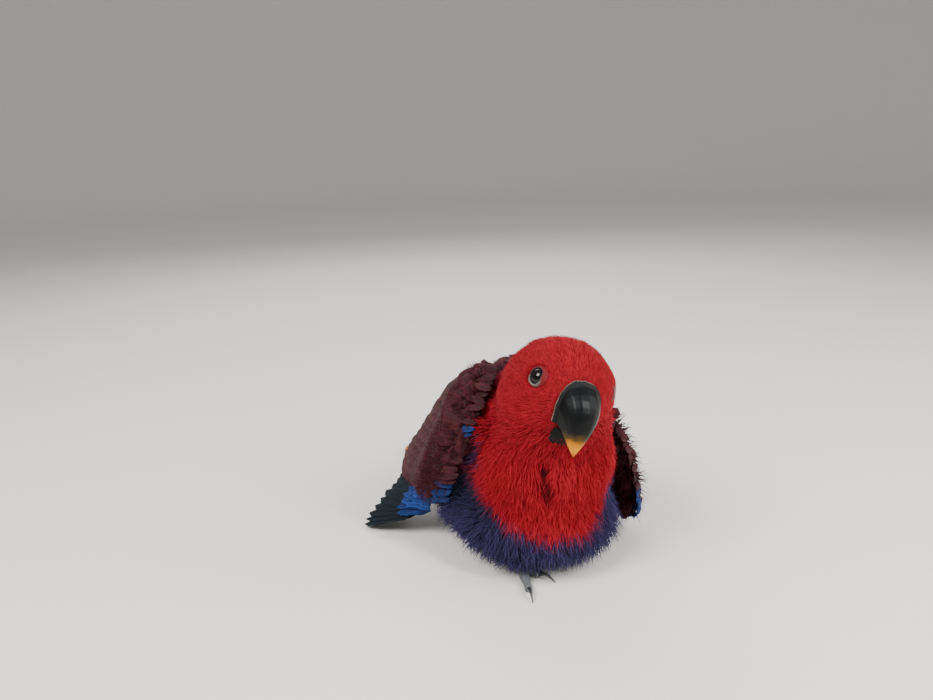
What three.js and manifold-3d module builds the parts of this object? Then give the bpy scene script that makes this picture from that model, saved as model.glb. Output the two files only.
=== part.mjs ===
// A young female eclectus parrot at life size, crouched on the ground with its wings drooping
// and its head tipped to its left, as a still museum model.
// Millimetres, +Z up. The bird faces -Y and its own left is +X.
import * as THREE from "three";
import { mergeVertices } from "three/addons/utils/BufferGeometryUtils.js";
import Module from "manifold-3d";

const wasm = await Module();
wasm.setup();

// The gap that two touching solids keep between their faces
const GAP = 0.35;

// Body: the outline of the plumage is a few ellipsoids melted together over MELT
const MELT = 12;
const TORSO = { at: [0, 26, 44], radii: [40, 58, 36], pitch: 12 };
const BREAST = { at: [0, -11, 46], radii: [31, 29, 34], pitch: 0 };
const BELLY = { at: [-1, 10, 21], radii: [46, 53, 25], pitch: 0 };
const MANTLE = { at: [0, 22, 75], radii: [32, 37, 21], pitch: 14 };
const RUMP = { at: [0, 76, 36], radii: [22, 24, 15], pitch: 14 };
const NECK = { at: [3, -15, 70], radii: [26, 23, 24], pitch: 0 };

// Head: placed and turned as one, with its own ellipsoids
const HEAD_AT = new THREE.Vector3(0.8, -20, 95);
const HEAD_YAW = -5;
const HEAD_RISE = 0;
const HEAD_TILT = 18;
const SKULL = { at: [1.4, 2, 1.5], radii: [27, 25.5, 23] };
const CROWN = { at: [2, -5, 8], radii: [21, 18, 15] };
const CHEEK = { at: [0, -2, -10], radii: [24, 20, 16] };
const FACE = { at: [0, -15, 0], radii: [12, 11, 13] };

// Eyes and lids, in the head's own frame
const EYE_RADIUS = 5;
const EYE_AT = [17.2, -14.2, 7.9];
const EYE_SHIFT = 0.7;
const EYE_TURN = 64;
const EYE_TIP = -12;
const LID_OPENING = 4.5;
const LID_THICKNESS = 1.15;
const LID_STAND = 3.3;

// Bill, in the head's own frame: the ridge and the cutting edge are arcs seen from the side
const BILL_WIDTH = 24.5;
const BILL_TAPER = [1.2, 0.8];
const BILL_TOP = [-26, 12.3];
const BILL_TIP = [-36, -21.5];
const BILL_FORWARD = 9;
const GAPE = [-18, -8];
const GAPE_BOW = 5;
const LOWER_BILL_WIDTH = 21.5;
const LOWER_BILL_DROP = 14;
const LOWER_BILL_REACH = 13;
const CERE_RISE = 1.1;
const CERE_SPREAD = 1.04;
const NOSTRIL_RADIUS = 1.3;

// Legs and feet: the right foot is a step ahead of the left
const LEG_RADIUS = 4.2;
const LEG_TOP = 22;
const FOOT_ROOM = [22, 31];
const TOE_RADIUS = 2.9;
const TOE_TIP_RADIUS = 2.0;
const CLAW_LENGTH = 9;
const CLAW_RADIUS = 1.5;
const ANKLE_HEIGHT = 6.5;
const FEET = {
  right: { at: [-20, -20], turn: 0 },
  left: { at: [13, 3], turn: 8 },
};
const TOES = [
  { angle: -14, length: 20 },
  { angle: 32, length: 11 },
  { angle: 158, length: 19 },
  { angle: 203, length: 13 },
];

// Wings, as for the left side: the fore edge runs from shoulder to wrist and on along the hand,
// and the feathers run back from it, as run says at the shoulder, the wrist and the hand's end
const WINGS = {
  right: {
    side: -1,
    shoulder: [20, 12, 94],
    bend: [42, 2, 63],
    wrist: [46, 24, 27],
    hand: [6, 10, -8],
    run: [[-0.08, 1, -0.3], [0.0, 1, -0.12], [0.96, 1, -0.6]],
  },
  left: {
    side: 1,
    shoulder: [19, 12, 93],
    bend: [54, -6, 52],
    wrist: [46, -14, 14],
    hand: [4, 17, -5],
    run: [[-0.08, 1, -0.3], [0.05, 1, -0.05], [0.3, 1, 0]],
  },
};
const WING_BULGE = 5;
const WING_REACH = 95;
const HAND_CLEARANCE = 0.7;

// Tail
const TAIL_AT = [0, 78, 36];
const TAIL_LENGTH = 92;
const TAIL_SLOPE = 0.3;
const TAIL_FAN = 13;
const TAIL_ARCH = 5;
const RECTRICES = 12;
const TAIL_COVERTS = 6;
const TAIL_COVERT_LENGTH = 42;

// Feathers: those of one row differ by up to VANE_VARIATION in length and width
const VANE_THICKNESS = 1.2;
const VANE_VARIATION = 0.07;

const radians = (degrees) => (degrees * Math.PI) / 180;
const mix = (a, b, share) => a + (b - a) * share;
const vec = (list) => new THREE.Vector3(...list);
const upright = new THREE.Matrix4().makeRotationX(Math.PI / 2);

// Solids: a closed three.js geometry becomes a manifold, and a manifold a geometry again
function solid(geometry, matrix) {
  const bare = (geometry.index ? geometry.toNonIndexed() : geometry).clone();
  for (const name of Object.keys(bare.attributes)) if (name !== "position") bare.deleteAttribute(name);
  if (matrix) bare.applyMatrix4(matrix);
  const merged = mergeVertices(bare, 1e-4);
  return new wasm.Manifold(
    new wasm.Mesh({
      numProp: 3,
      vertProperties: new Float32Array(merged.attributes.position.array),
      triVerts: new Uint32Array(merged.index.array),
    }),
  );
}

function meshGeometry(manifold) {
  const mesh = manifold.getMesh();
  const geometry = new THREE.BufferGeometry();
  geometry.setAttribute("position", new THREE.BufferAttribute(new Float32Array(mesh.vertProperties), 3));
  geometry.setIndex(new THREE.BufferAttribute(new Uint32Array(mesh.triVerts), 1));
  const flat = geometry.toNonIndexed();
  flat.computeVertexNormals();
  return flat;
}

function largest(manifold) {
  return manifold.decompose().reduce((a, b) => (b.volume() > a.volume() ? b : a));
}

const join = (solids) => solids.reduce((a, b) => a.add(b));

// A slab that fills everything ahead of a plane, for cuts
function ahead(point, normal) {
  const size = 400;
  const way = normal.clone().normalize();
  const turn = new THREE.Quaternion().setFromUnitVectors(new THREE.Vector3(0, 0, 1), way);
  const centre = point.clone().addScaledVector(way, size / 2);
  const place = new THREE.Matrix4().compose(centre, turn, new THREE.Vector3(1, 1, 1));
  return solid(new THREE.BoxGeometry(size, size, size), place);
}

// The plumage surface: the distance to an ellipsoid, and several of them melted into one
const headFrame = new THREE.Matrix4()
  .makeTranslation(HEAD_AT)
  .multiply(new THREE.Matrix4().makeRotationZ(radians(HEAD_YAW)))
  .multiply(new THREE.Matrix4().makeRotationX(radians(-HEAD_RISE)))
  .multiply(new THREE.Matrix4().makeRotationY(radians(HEAD_TILT)));

function blob({ at, radii, pitch = 0 }, frame = new THREE.Matrix4()) {
  const place = frame.clone().multiply(new THREE.Matrix4().makeTranslation(...at));
  place.multiply(new THREE.Matrix4().makeRotationX(radians(-pitch)));
  return { inverse: place.invert(), radii };
}

const bodyBlobs = [TORSO, BREAST, BELLY, MANTLE, RUMP, NECK].map((b) => blob(b));
const headBlobs = [SKULL, CROWN, CHEEK, FACE].map((b) => blob(b, headFrame));

function distance({ inverse, radii }, point) {
  const p = point.clone().applyMatrix4(inverse);
  const near = Math.hypot(p.x / radii[0], p.y / radii[1], p.z / radii[2]);
  const slope = Math.hypot(p.x / radii[0] ** 2, p.y / radii[1] ** 2, p.z / radii[2] ** 2);
  return slope < 1e-9 ? -Math.min(...radii) : (near * (near - 1)) / slope;
}

function melted(a, b) {
  const share = Math.max(MELT - Math.abs(a - b), 0) / MELT;
  return Math.min(a, b) - share * share * MELT * 0.25;
}

const plumage = (point) => [...bodyBlobs, ...headBlobs].map((b) => distance(b, point)).reduce(melted);

// A ball whose points are pushed out from a centre to the plumage surface, or a little past it
function plumageSolid(centre, detail, beyond = 0) {
  const ball = new THREE.IcosahedronGeometry(1, detail);
  ball.deleteAttribute("uv");
  ball.deleteAttribute("normal");
  const shape = mergeVertices(ball, 1e-4);
  const points = shape.attributes.position;
  for (let i = 0; i < points.count; i += 1) {
    const direction = new THREE.Vector3().fromBufferAttribute(points, i).normalize();
    let low = 0;
    let high = 220;
    for (let r = 0; r < high; r += 4) {
      if (plumage(centre.clone().addScaledVector(direction, r)) > beyond) {
        high = r;
        low = r - 4;
      }
    }
    for (let step = 0; step < 24; step += 1) {
      const middle = (low + high) / 2;
      if (plumage(centre.clone().addScaledVector(direction, middle)) > beyond) high = middle;
      else low = middle;
    }
    const found = centre.clone().addScaledVector(direction, low);
    points.setXYZ(i, found.x, found.y, found.z);
  }
  return solid(shape);
}

// A skin over rings of points, closed at both ends by a point or by the ring's own middle
function loft(rings, start, end) {
  const sides = rings[0].length;
  const points = [];
  const middle = (ring) => ring.reduce((a, b) => a.add(b), new THREE.Vector3()).divideScalar(sides);
  const first = start ?? middle(rings[0]);
  const last = end ?? middle(rings[rings.length - 1]);
  const face = (a, b, c) => points.push(a, b, c);
  for (let i = 0; i < sides; i += 1) {
    const next = (i + 1) % sides;
    face(first, rings[0][next], rings[0][i]);
    face(last, rings[rings.length - 1][i], rings[rings.length - 1][next]);
    for (let r = 0; r + 1 < rings.length; r += 1) {
      face(rings[r][i], rings[r][next], rings[r + 1][next]);
      face(rings[r][i], rings[r + 1][next], rings[r + 1][i]);
    }
  }
  return closed(points);
}

// A solid from loose triangles, turned to face outwards
function closed(points) {
  const geometry = new THREE.BufferGeometry().setFromPoints(points);
  const made = solid(geometry);
  if (made.volume() > 0) return made;
  const turned = [];
  for (let i = 0; i < points.length; i += 3) turned.push(points[i], points[i + 2], points[i + 1]);
  return solid(new THREE.BufferGeometry().setFromPoints(turned));
}

// A round limb along a smooth line, thick or thin as radius(share) says
function limb(line, radius, steps, sides, squash = 1) {
  const curve = new THREE.CatmullRomCurve3(line.map((p) => (p.isVector3 ? p : vec(p))));
  const rings = [];
  for (let i = 0; i <= steps; i += 1) {
    const share = i / steps;
    const centre = curve.getPoint(share);
    const along = curve.getTangent(share);
    const across = new THREE.Vector3(0, 0, 1).cross(along).normalize();
    if (across.lengthSq() < 0.5) across.set(1, 0, 0);
    const up = along.clone().cross(across).normalize();
    const ring = [];
    for (let k = 0; k < sides; k += 1) {
      const turn = (2 * Math.PI * k) / sides;
      const r = radius(share);
      ring.push(
        centre
          .clone()
          .addScaledVector(across, r * Math.cos(turn))
          .addScaledVector(up, r * squash * Math.sin(turn)),
      );
    }
    rings.push(ring);
  }
  return loft(rings);
}

function ellipsoid(at, radii, detail) {
  const place = new THREE.Matrix4().compose(vec(at), new THREE.Quaternion(), vec(radii));
  return solid(new THREE.IcosahedronGeometry(1, detail), place);
}

// Head, neck and torso: one surface parted by two thin cuts
const HEAD_CUT = { at: new THREE.Vector3(0, -16, 72), normal: new THREE.Vector3(0.05, -0.42, 0.9) };
const NECK_CUT = { at: new THREE.Vector3(0, -12, 57.5), normal: new THREE.Vector3(-0.16, -0.79, 0.62) };

const headBall = plumageSolid(HEAD_AT, 7);
const headShell = plumageSolid(HEAD_AT, 7, GAP);
const bodyCentre = new THREE.Vector3(0, 14, 48);
const bodyBall = plumageSolid(bodyCentre, 8);
const bodyShell = plumageSolid(bodyCentre, 8, GAP);
const neckBall = plumageSolid(new THREE.Vector3(0, -12, 62), 8);

const shifted = ({ at, normal }, step) => at.clone().addScaledVector(normal.clone().normalize(), step);
const aboveHeadCut = ahead(shifted(HEAD_CUT, GAP / 2), HEAD_CUT.normal);
const aboveHeadCutLow = ahead(shifted(HEAD_CUT, -GAP / 2), HEAD_CUT.normal);
const aboveNeckCut = ahead(shifted(NECK_CUT, GAP / 2), NECK_CUT.normal);
const aboveNeckCutLow = ahead(shifted(NECK_CUT, -GAP / 2), NECK_CUT.normal);

const floorSlab = ahead(new THREE.Vector3(0, 0, 0), new THREE.Vector3(0, 0, -1));
let torso = bodyBall.subtract(aboveNeckCutLow).subtract(aboveHeadCutLow).subtract(floorSlab);
const neck = largest(neckBall.intersect(aboveNeckCut).subtract(aboveHeadCutLow));

// Eyes: a ball in a socket, with a raised lid round it
function eyePlace(side) {
  const turn = new THREE.Matrix4().makeRotationZ(radians(side * EYE_TURN));
  const tip = new THREE.Matrix4().makeRotationX(radians(EYE_TIP));
  return headFrame
    .clone()
    .multiply(new THREE.Matrix4().makeTranslation(EYE_SHIFT + side * EYE_AT[0], EYE_AT[1], EYE_AT[2]))
    .multiply(turn)
    .multiply(tip);
}

function eyeball(side, radius) {
  return solid(new THREE.SphereGeometry(radius, 14, 9), eyePlace(side).multiply(upright));
}

// The ring's hole looks along the eye's own -Y
function lidRing(side, thickness) {
  const ring = new THREE.TorusGeometry(LID_OPENING, thickness, 6, 15);
  const lie = new THREE.Matrix4().makeRotationX(Math.PI / 2);
  const oval = new THREE.Matrix4().makeScale(1.12, 1, 0.92);
  const out = new THREE.Matrix4().makeTranslation(0, -LID_STAND, 0);
  return solid(ring, eyePlace(side).multiply(out).multiply(oval).multiply(lie));
}

// Bill: arched sections strung between the ridge and the cutting edge
function arc(from, to, bow, share) {
  const x = mix(from[0], to[0], share);
  const z = mix(from[1], to[1], share);
  const length = Math.hypot(to[0] - from[0], to[1] - from[1]);
  const swell = bow * Math.sin(Math.PI * share ** 0.8);
  return [x + ((to[1] - from[1]) / length) * swell, z - ((to[0] - from[0]) / length) * swell];
}

function archSection(ridge, edge, halfWidth, points, roundness) {
  const ring = [];
  for (let k = 0; k <= points; k += 1) {
    const turn = (Math.PI * k) / points;
    const rise = Math.sin(turn) ** roundness;
    const reach = Math.sign(Math.cos(turn)) * Math.abs(Math.cos(turn)) ** 0.8;
    ring.push([halfWidth * reach, mix(edge[0], ridge[0], rise), mix(edge[1], ridge[1], rise)]);
  }
  ring.push([0, mix(edge[0], ridge[0], 0.18), mix(edge[1], ridge[1], 0.18)]);
  return ring.map((p) => vec(p));
}

function upperBill(spread = 1) {
  const rings = [];
  const steps = 12;
  for (let i = -2; i < steps; i += 1) {
    const share = Math.max(i, 0) / steps;
    const back = Math.min(i, 0) * -4;
    const ridge = arc(BILL_TOP, BILL_TIP, BILL_FORWARD, share);
    const edge = arc(GAPE, [BILL_TIP[0] + 1.5, BILL_TIP[1] + 1], GAPE_BOW, share);
    const half = (BILL_WIDTH / 2) * spread * (1 - share ** BILL_TAPER[0]) ** BILL_TAPER[1];
    const grow = (spread - 1) * BILL_WIDTH;
    rings.push(
      archSection([ridge[0] + back, ridge[1] + grow], [edge[0] + back, edge[1] - grow], half, 10, 0.75),
    );
  }
  const tip = new THREE.Vector3(0, BILL_TIP[0], BILL_TIP[1]);
  rings.forEach((ring) => ring.forEach((p) => p.applyMatrix4(headFrame)));
  return loft(rings, undefined, tip.applyMatrix4(headFrame));
}

function lowerBill() {
  const rings = [];
  const steps = 7;
  for (let i = -2; i < steps; i += 1) {
    const share = Math.max(i, 0) / steps;
    const back = Math.min(i, 0) * -4;
    const top = [GAPE[0] + 1 - LOWER_BILL_REACH * share, GAPE[1] - 0.8 - 4 * share ** 1.5];
    const keel = [top[0] + 1, top[1] - LOWER_BILL_DROP * (1 - share ** 2.2)];
    const half = (LOWER_BILL_WIDTH / 2) * (1 - share ** 2.4) ** 0.6;
    rings.push(archSection([keel[0] + back, keel[1]], [top[0] + back, top[1]], half, 8, 0.7));
  }
  const tip = new THREE.Vector3(0, GAPE[0] + 1 - LOWER_BILL_REACH, GAPE[1] - 5.5);
  rings.forEach((ring) => ring.forEach((p) => p.applyMatrix4(headFrame)));
  return loft(rings, undefined, tip.applyMatrix4(headFrame));
}

const cereShell = plumageSolid(HEAD_AT, 8, CERE_RISE);
const billStart = plumageSolid(HEAD_AT, 8, CERE_RISE + GAP);
const billUpper = largest(upperBill().subtract(billStart));
const billLower = largest(lowerBill().subtract(headShell).subtract(upperBill(1.03)));

function nostril(side) {
  const at = new THREE.Matrix4().makeTranslation(side * 6.5, BILL_TOP[0] - 5, BILL_TOP[1] - 1.5);
  const shape = new THREE.Matrix4().makeScale(1, 2.5, 1);
  const ball = new THREE.IcosahedronGeometry(NOSTRIL_RADIUS, 2);
  return solid(ball, headFrame.clone().multiply(at).multiply(shape));
}

const cere = largest(
  upperBill(CERE_SPREAD)
    .intersect(cereShell)
    .subtract(headShell)
    .subtract(nostril(1))
    .subtract(nostril(-1)),
);

let head = headBall.intersect(aboveHeadCut);
for (const side of [-1, 1]) {
  head = head.subtract(lidRing(side, LID_THICKNESS + GAP)).subtract(eyeball(side, EYE_RADIUS + GAP));
}
head = largest(head);
const eyelid = (side) => largest(lidRing(side, LID_THICKNESS).subtract(eyeball(side, EYE_RADIUS + GAP)));

// Legs and feet
function toeLine(foot, toe, from, to) {
  const turn = radians(foot.turn + toe.angle);
  const point = (reach, height) => [
    foot.at[0] + reach * Math.sin(turn),
    foot.at[1] - reach * Math.cos(turn),
    height,
  ];
  return { point, line: [point(from, 2.6), point((from + to) / 2, 2.4), point(to, 1.7)] };
}

function toeSolid(foot, toe) {
  const { line } = toeLine(foot, toe, 0, toe.length);
  const swell = (share) => 1 + 0.1 * Math.cos(share * 4 * Math.PI);
  const pads = (share) => mix(TOE_RADIUS, TOE_TIP_RADIUS, share) * swell(share);
  return limb(line, pads, 7, 7);
}

function clawSolid(foot, toe, stretch = 0) {
  const { point } = toeLine(foot, toe, 0, toe.length);
  const start = toe.length + GAP - stretch;
  const rise = TOE_TIP_RADIUS + 0.4;
  const crest = point(start + CLAW_LENGTH * 0.45, rise + 0.9);
  const line = [point(start, rise), crest, point(start + CLAW_LENGTH, 0.5)];
  return limb(line, (share) => mix(CLAW_RADIUS, 0.35, share), 5, 5);
}

function makeFoot(foot) {
  const toes = TOES.map((toe) => toeSolid(foot, toe));
  const pad = ellipsoid([...foot.at, 2.6], [5, 6, 3.4], 2);
  const ankle = limb([[...foot.at, 2.6], [...foot.at, ANKLE_HEIGHT]], () => LEG_RADIUS * 0.9, 2, 10);
  const claws = TOES.map((toe) => clawSolid(foot, toe));
  return {
    foot: largest(join([...toes, pad, ankle]).subtract(floorSlab)),
    claws: claws.map((claw, i) => largest(claw.subtract(toes[i]).subtract(floorSlab))),
  };
}

// The shank stands in a socket of the belly, and the belly leaves room round the foot
function shank(foot, grow) {
  const low = ANKLE_HEIGHT + GAP - grow;
  return limb([[...foot.at, low], [...foot.at, LEG_TOP + grow]], () => LEG_RADIUS + grow, 2, 12);
}

function footRoom(foot) {
  const room = new THREE.CylinderGeometry(1, 1, 2 * ANKLE_HEIGHT, 36).scale(FOOT_ROOM[0], 1, FOOT_ROOM[1]);
  return solid(room, new THREE.Matrix4().makeTranslation(...foot.at, 0).multiply(upright));
}

for (const foot of Object.values(FEET)) {
  torso = torso.subtract(shank(foot, GAP)).subtract(footRoom(foot));
}
torso = largest(torso);

// Wing surface: back runs along the feathers from the fore edge, and down is 0 at the shoulder,
// 1 at the wrist and 2 at the end of the hand
function wingSheet({ side, shoulder, bend, wrist, hand, run }) {
  const edge = new THREE.QuadraticBezierCurve3(vec(shoulder), vec(bend), vec(wrist));
  const bare = (back, down) => {
    const arm = Math.min(down, 1);
    const past = Math.max(down - 1, 0);
    const start = edge.getPoint(Math.max(arm, 0)).addScaledVector(vec(hand), past);
    if (arm < 0) start.addScaledVector(edge.getTangent(0), arm * edge.getLength());
    const from = past > 0 ? vec(run[1]) : vec(run[0]);
    const to = past > 0 ? vec(run[2]) : vec(run[1]);
    const course = from.lerp(to, past > 0 ? Math.min(past, 1.2) ** 2 : Math.max(arm, -0.1)).normalize();
    const point = start.addScaledVector(course, back);
    point.x += WING_BULGE * Math.sin((Math.PI * Math.min(Math.max(back, -10), WING_REACH)) / WING_REACH);
    return point;
  };
  return (back, down, rise) => {
    const step = 0.5;
    const point = bare(back, down);
    const along = bare(back + step, down).sub(bare(back - step, down));
    const across = bare(back, down + 0.01).sub(bare(back, down - 0.01));
    const width = across.length() / 0.02;
    const normal = along.cross(across).normalize();
    if (normal.x < 0) normal.negate();
    point.addScaledVector(normal, rise);
    point.x *= side;
    return { point, width };
  };
}

// Vane: a thin lens-shaped feather laid on a sheet, narrow at the root and rounded at the tip
const LONG_VANE = [
  [0, 0.4],
  [0.3, 0.95],
  [0.62, 1],
  [0.88, 0.72],
];
const SHORT_VANE = [
  [0, 0.6],
  [0.7, 0.95],
];

function vane(sheet, grow, form) {
  const { back, down, length, width, rise, lift = 0, slant = 0.12, stations = LONG_VANE } = form;
  const half = VANE_THICKNESS / 2 + grow;
  const ring = (share, breadth) => {
    const at = back + length * share - (share > 0 ? 0 : grow);
    const high = rise + lift * share;
    const reach = (width / 2) * breadth + grow;
    const step = reach / sheet(at, down, high).width;
    return [
      sheet(at, down - step, high - slant * reach).point,
      sheet(at, down, high + half).point,
      sheet(at, down + step, high + slant * reach).point,
      sheet(at, down, high - half).point,
    ];
  };
  const rings = stations.map(([share, breadth]) => ring(share, breadth));
  const tip = sheet(back + length + grow, down, rise + lift).point;
  return loft(rings, undefined, tip);
}

// A row of vanes spread evenly over the sheet, each a little unlike its neighbours
let seed = 7;
function random(spread) {
  seed = (seed * 16807) % 2147483647;
  return 1 + spread * (2 * (seed / 2147483647) - 1);
}

function vaneRow(sheet, grow, count, { from, to, stations, ...rest }) {
  seed = 7 + count;
  const row = [];
  for (let i = 0; i < count; i += 1) {
    const share = i / (count - 1);
    const one = { down: mix(from, to, share), stations };
    for (const [key, value] of Object.entries(rest)) {
      one[key] = Array.isArray(value) ? mix(value[0], value[1], share) : value;
    }
    one.length *= random(VANE_VARIATION);
    one.width *= random(VANE_VARIATION);
    row.push(vane(sheet, grow, one));
  }
  return row;
}

// The arm is a cushion along the fore edge that all the feathers of the arm grow out of
function armSolid(sheet, grow) {
  const rings = [];
  const steps = 9;
  for (let i = 0; i <= steps; i += 1) {
    const down = mix(-0.04 - grow / 60, 0.97 + grow / 60, i / steps);
    const fade = Math.sin(Math.PI * mix(0.14, 0.86, i / steps)) ** 0.5;
    const ring = [];
    const sides = 12;
    for (let k = 0; k < sides; k += 1) {
      const turn = (2 * Math.PI * k) / sides;
      const back = 11 + (17 * fade + grow) * Math.cos(turn);
      const high = 3.2 + (6.2 * fade + grow) * Math.sin(turn) - 0.12 * (back - 11);
      ring.push(sheet(back, down, high).point);
    }
    rings.push(ring);
  }
  return loft(rings);
}

// Arm: cushion, secondaries, and two tiers of coverts over their roots
function armPieces(sheet, grow) {
  return [
    armSolid(sheet, grow),
    ...vaneRow(sheet, grow, 10, { from: 0.03, to: 0.89, back: 16, length: [72, 64], width: 14, rise: 1.6 }),
    ...vaneRow(sheet, grow, 10, {
      from: 0, to: 0.9, back: 17, length: [36, 30], width: 12.5, rise: 6.4, lift: -2, slant: 0.16,
      stations: SHORT_VANE,
    }),
    ...vaneRow(sheet, grow, 11, {
      from: -0.02, to: 0.91, back: 3, length: 26, width: 11, rise: 9.2, lift: -1.2, slant: 0.18,
      stations: SHORT_VANE,
    }),
  ];
}

// Hand: cushion, primaries, their coverts, and the short stiff feathers at the wrist
function handPieces(sheet) {
  const line = [0.98, 1.3, 1.65, 2.02].map((down) => sheet(5, down, 1).point);
  return [
    limb(line, (share) => mix(6.4, 3.4, share), 6, 9),
    ...vaneRow(sheet, 0, 8, {
      from: 1.05, to: 2, back: [8, 3], length: [58, 38], width: [12, 9], rise: -0.5,
    }),
    ...vaneRow(sheet, 0, 6, {
      from: 1.1, to: 1.95, back: [6, 2], length: [30, 19], width: [9, 7], rise: 3, lift: -1, slant: 0.2,
      stations: SHORT_VANE,
    }),
    ...vaneRow(sheet, 0, 3, {
      from: 1.15, to: 1.6, back: 1, length: [22, 16], width: 7, rise: 5.6, lift: -0.6, slant: 0.24,
      stations: SHORT_VANE,
    }),
  ];
}

function makeWing(wing) {
  const sheet = wingSheet(wing);
  const arm = largest(join(armPieces(sheet, 0)).subtract(bodyShell).subtract(headShell));
  const room = join(armPieces(sheet, HAND_CLEARANCE));
  const hand = largest(join(handPieces(sheet)).subtract(room).subtract(bodyShell));
  return { arm, hand };
}

// Tail: twelve feathers in a shallow roof, the middle pair on top, under a tier of coverts
function tailSheet(along, across, rise) {
  const turn = radians(TAIL_FAN * across);
  const run = new THREE.Vector3(Math.sin(turn), Math.cos(turn), -TAIL_SLOPE).normalize();
  const point = vec(TAIL_AT).addScaledVector(run, along);
  point.x += across * 9;
  point.z += rise - TAIL_ARCH * across * across;
  return { point, width: 9 + along * radians(TAIL_FAN) };
}

function makeTail() {
  const core = ellipsoid([0, TAIL_AT[1] + 8, TAIL_AT[2] - 5], [15, 22, 6], 2);
  const pieces = [core];
  const pair = (across, shape) => {
    const slant = shape.slant * -Math.sign(across);
    pieces.push(vane(tailSheet, 0, { ...shape, down: across, slant }));
  };
  for (let i = 0; i < RECTRICES; i += 1) {
    const across = ((i + 0.5) / RECTRICES) * 2 - 1;
    const length = TAIL_LENGTH - 6 * across * across;
    pair(across, { back: 8, length, width: 15, rise: -2.6 * Math.abs(across), slant: 0.16 });
  }
  for (let i = 0; i < TAIL_COVERTS; i += 1) {
    const across = ((i + 0.5) / TAIL_COVERTS) * 2 - 1;
    const length = TAIL_COVERT_LENGTH * random(VANE_VARIATION);
    const rise = 3.4 - 3 * Math.abs(across);
    pair(0.9 * across, { back: 2, length, width: 12, rise, lift: -2, slant: 0.2, stations: SHORT_VANE });
  }
  return largest(join(pieces).subtract(bodyShell));
}

// Materials
const finish = (color, roughness) => new THREE.MeshStandardMaterial({ color, roughness, metalness: 0 });
const redPlume = finish(0xb3161c, 0.85);
const violetPlume = finish(0x2b2a55, 0.85);
const maroonPlume = finish(0x5a1a24, 0.85);
const bluePlume = finish(0x1f3566, 0.7);
const horn = finish(0x1d1e20, 0.28);
const paleSkin = finish(0xb9aea4, 0.6);
const eyeGloss = finish(0x14110f, 0.08);
const greySkin = finish(0x55555a, 0.6);
const clawHorn = finish(0x2a2a2c, 0.35);

const bird = new THREE.Group();
const holder = new THREE.Group();
bird.add(holder);

function place(name, manifold, material) {
  const mesh = new THREE.Mesh(meshGeometry(manifold), material);
  mesh.name = name;
  holder.add(mesh);
}

place("head", head, redPlume);
place("neck", neck, redPlume);
place("torso", torso, violetPlume);
place("tail", makeTail(), maroonPlume);
place("bill_upper", billUpper, horn);
place("bill_lower", billLower, horn);
place("cere", cere, paleSkin);
for (const [name, side] of [["right", -1], ["left", 1]]) {
  place(`eye_${name}`, eyeball(side, EYE_RADIUS), eyeGloss);
  place(`eyelid_${name}`, eyelid(side), paleSkin);
  const { arm, hand } = makeWing(WINGS[name]);
  place(`wing_${name}`, arm, maroonPlume);
  place(`primaries_${name}`, hand, bluePlume);
  place(`leg_${name}`, shank(FEET[name], 0), greySkin);
  const { foot, claws } = makeFoot(FEET[name]);
  place(`foot_${name}`, foot, greySkin);
  claws.forEach((claw, i) => place(`claw_${name}_${i + 1}`, claw, clawHorn));
}

// The origin is on the floor, under the middle of the bird's own box
const box = new THREE.Box3().setFromObject(holder);
const middle = box.getCenter(new THREE.Vector3());
holder.position.set(-middle.x, -middle.y, -box.min.z);
holder.updateMatrixWorld(true);

export default bird;
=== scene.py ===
import math

import bmesh
import bpy
import numpy as np
from mathutils import Matrix, Vector
from mathutils.bvhtree import BVHTree


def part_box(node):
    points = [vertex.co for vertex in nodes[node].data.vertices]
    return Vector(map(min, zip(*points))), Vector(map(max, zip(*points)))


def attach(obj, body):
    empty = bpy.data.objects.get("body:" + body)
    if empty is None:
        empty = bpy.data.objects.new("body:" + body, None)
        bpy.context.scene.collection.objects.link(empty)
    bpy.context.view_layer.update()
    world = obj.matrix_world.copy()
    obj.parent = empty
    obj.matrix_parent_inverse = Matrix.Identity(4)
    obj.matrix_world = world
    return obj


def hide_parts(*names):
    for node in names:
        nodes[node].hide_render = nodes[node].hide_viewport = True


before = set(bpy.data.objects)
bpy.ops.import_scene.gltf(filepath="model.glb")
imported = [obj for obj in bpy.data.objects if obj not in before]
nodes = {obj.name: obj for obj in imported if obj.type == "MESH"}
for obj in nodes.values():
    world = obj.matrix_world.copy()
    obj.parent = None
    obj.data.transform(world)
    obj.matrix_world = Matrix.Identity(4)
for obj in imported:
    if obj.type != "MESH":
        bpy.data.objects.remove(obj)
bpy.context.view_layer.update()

# Camera
# It looks down on the bird from its right front, as the photograph does. Places are in millimetres
# from the bird's own middle, which the solids' right shank gives, and the model is in metres.

MM = 0.001
SHANK_AT = Vector((-20, -20, 0))
low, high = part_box("leg_right")
MIDDLE = (low + high) / 2 - SHANK_AT * MM
MIDDLE.z = 0.0


def place(x, y, z):
    """A point in the bird's own millimetres, in the frame's metres."""
    return MIDDLE + Vector((x, y, z)) * MM


CAMERA_AT = (-165.5, -349.5, 216.5)
CAMERA_HEADING = math.radians(-20)
CAMERA_PITCH = math.radians(15.06)
CAMERA_ROLL = math.radians(-2.23)
CAMERA_LENS = 30.05

camera_data = bpy.data.cameras.new("camera")
camera_data.sensor_width = 36
camera_data.lens = CAMERA_LENS
camera_data.clip_start = 0.01
camera = bpy.data.objects.new("camera", camera_data)
bpy.context.scene.collection.objects.link(camera)
camera.matrix_world = (
    Matrix.Translation(place(*CAMERA_AT))
    @ Matrix.Rotation(CAMERA_HEADING, 4, "Z")
    @ Matrix.Rotation(math.pi / 2 - CAMERA_PITCH, 4, "X")
    @ Matrix.Rotation(CAMERA_ROLL, 4, "Z")
)
bpy.context.scene.camera = camera


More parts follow.
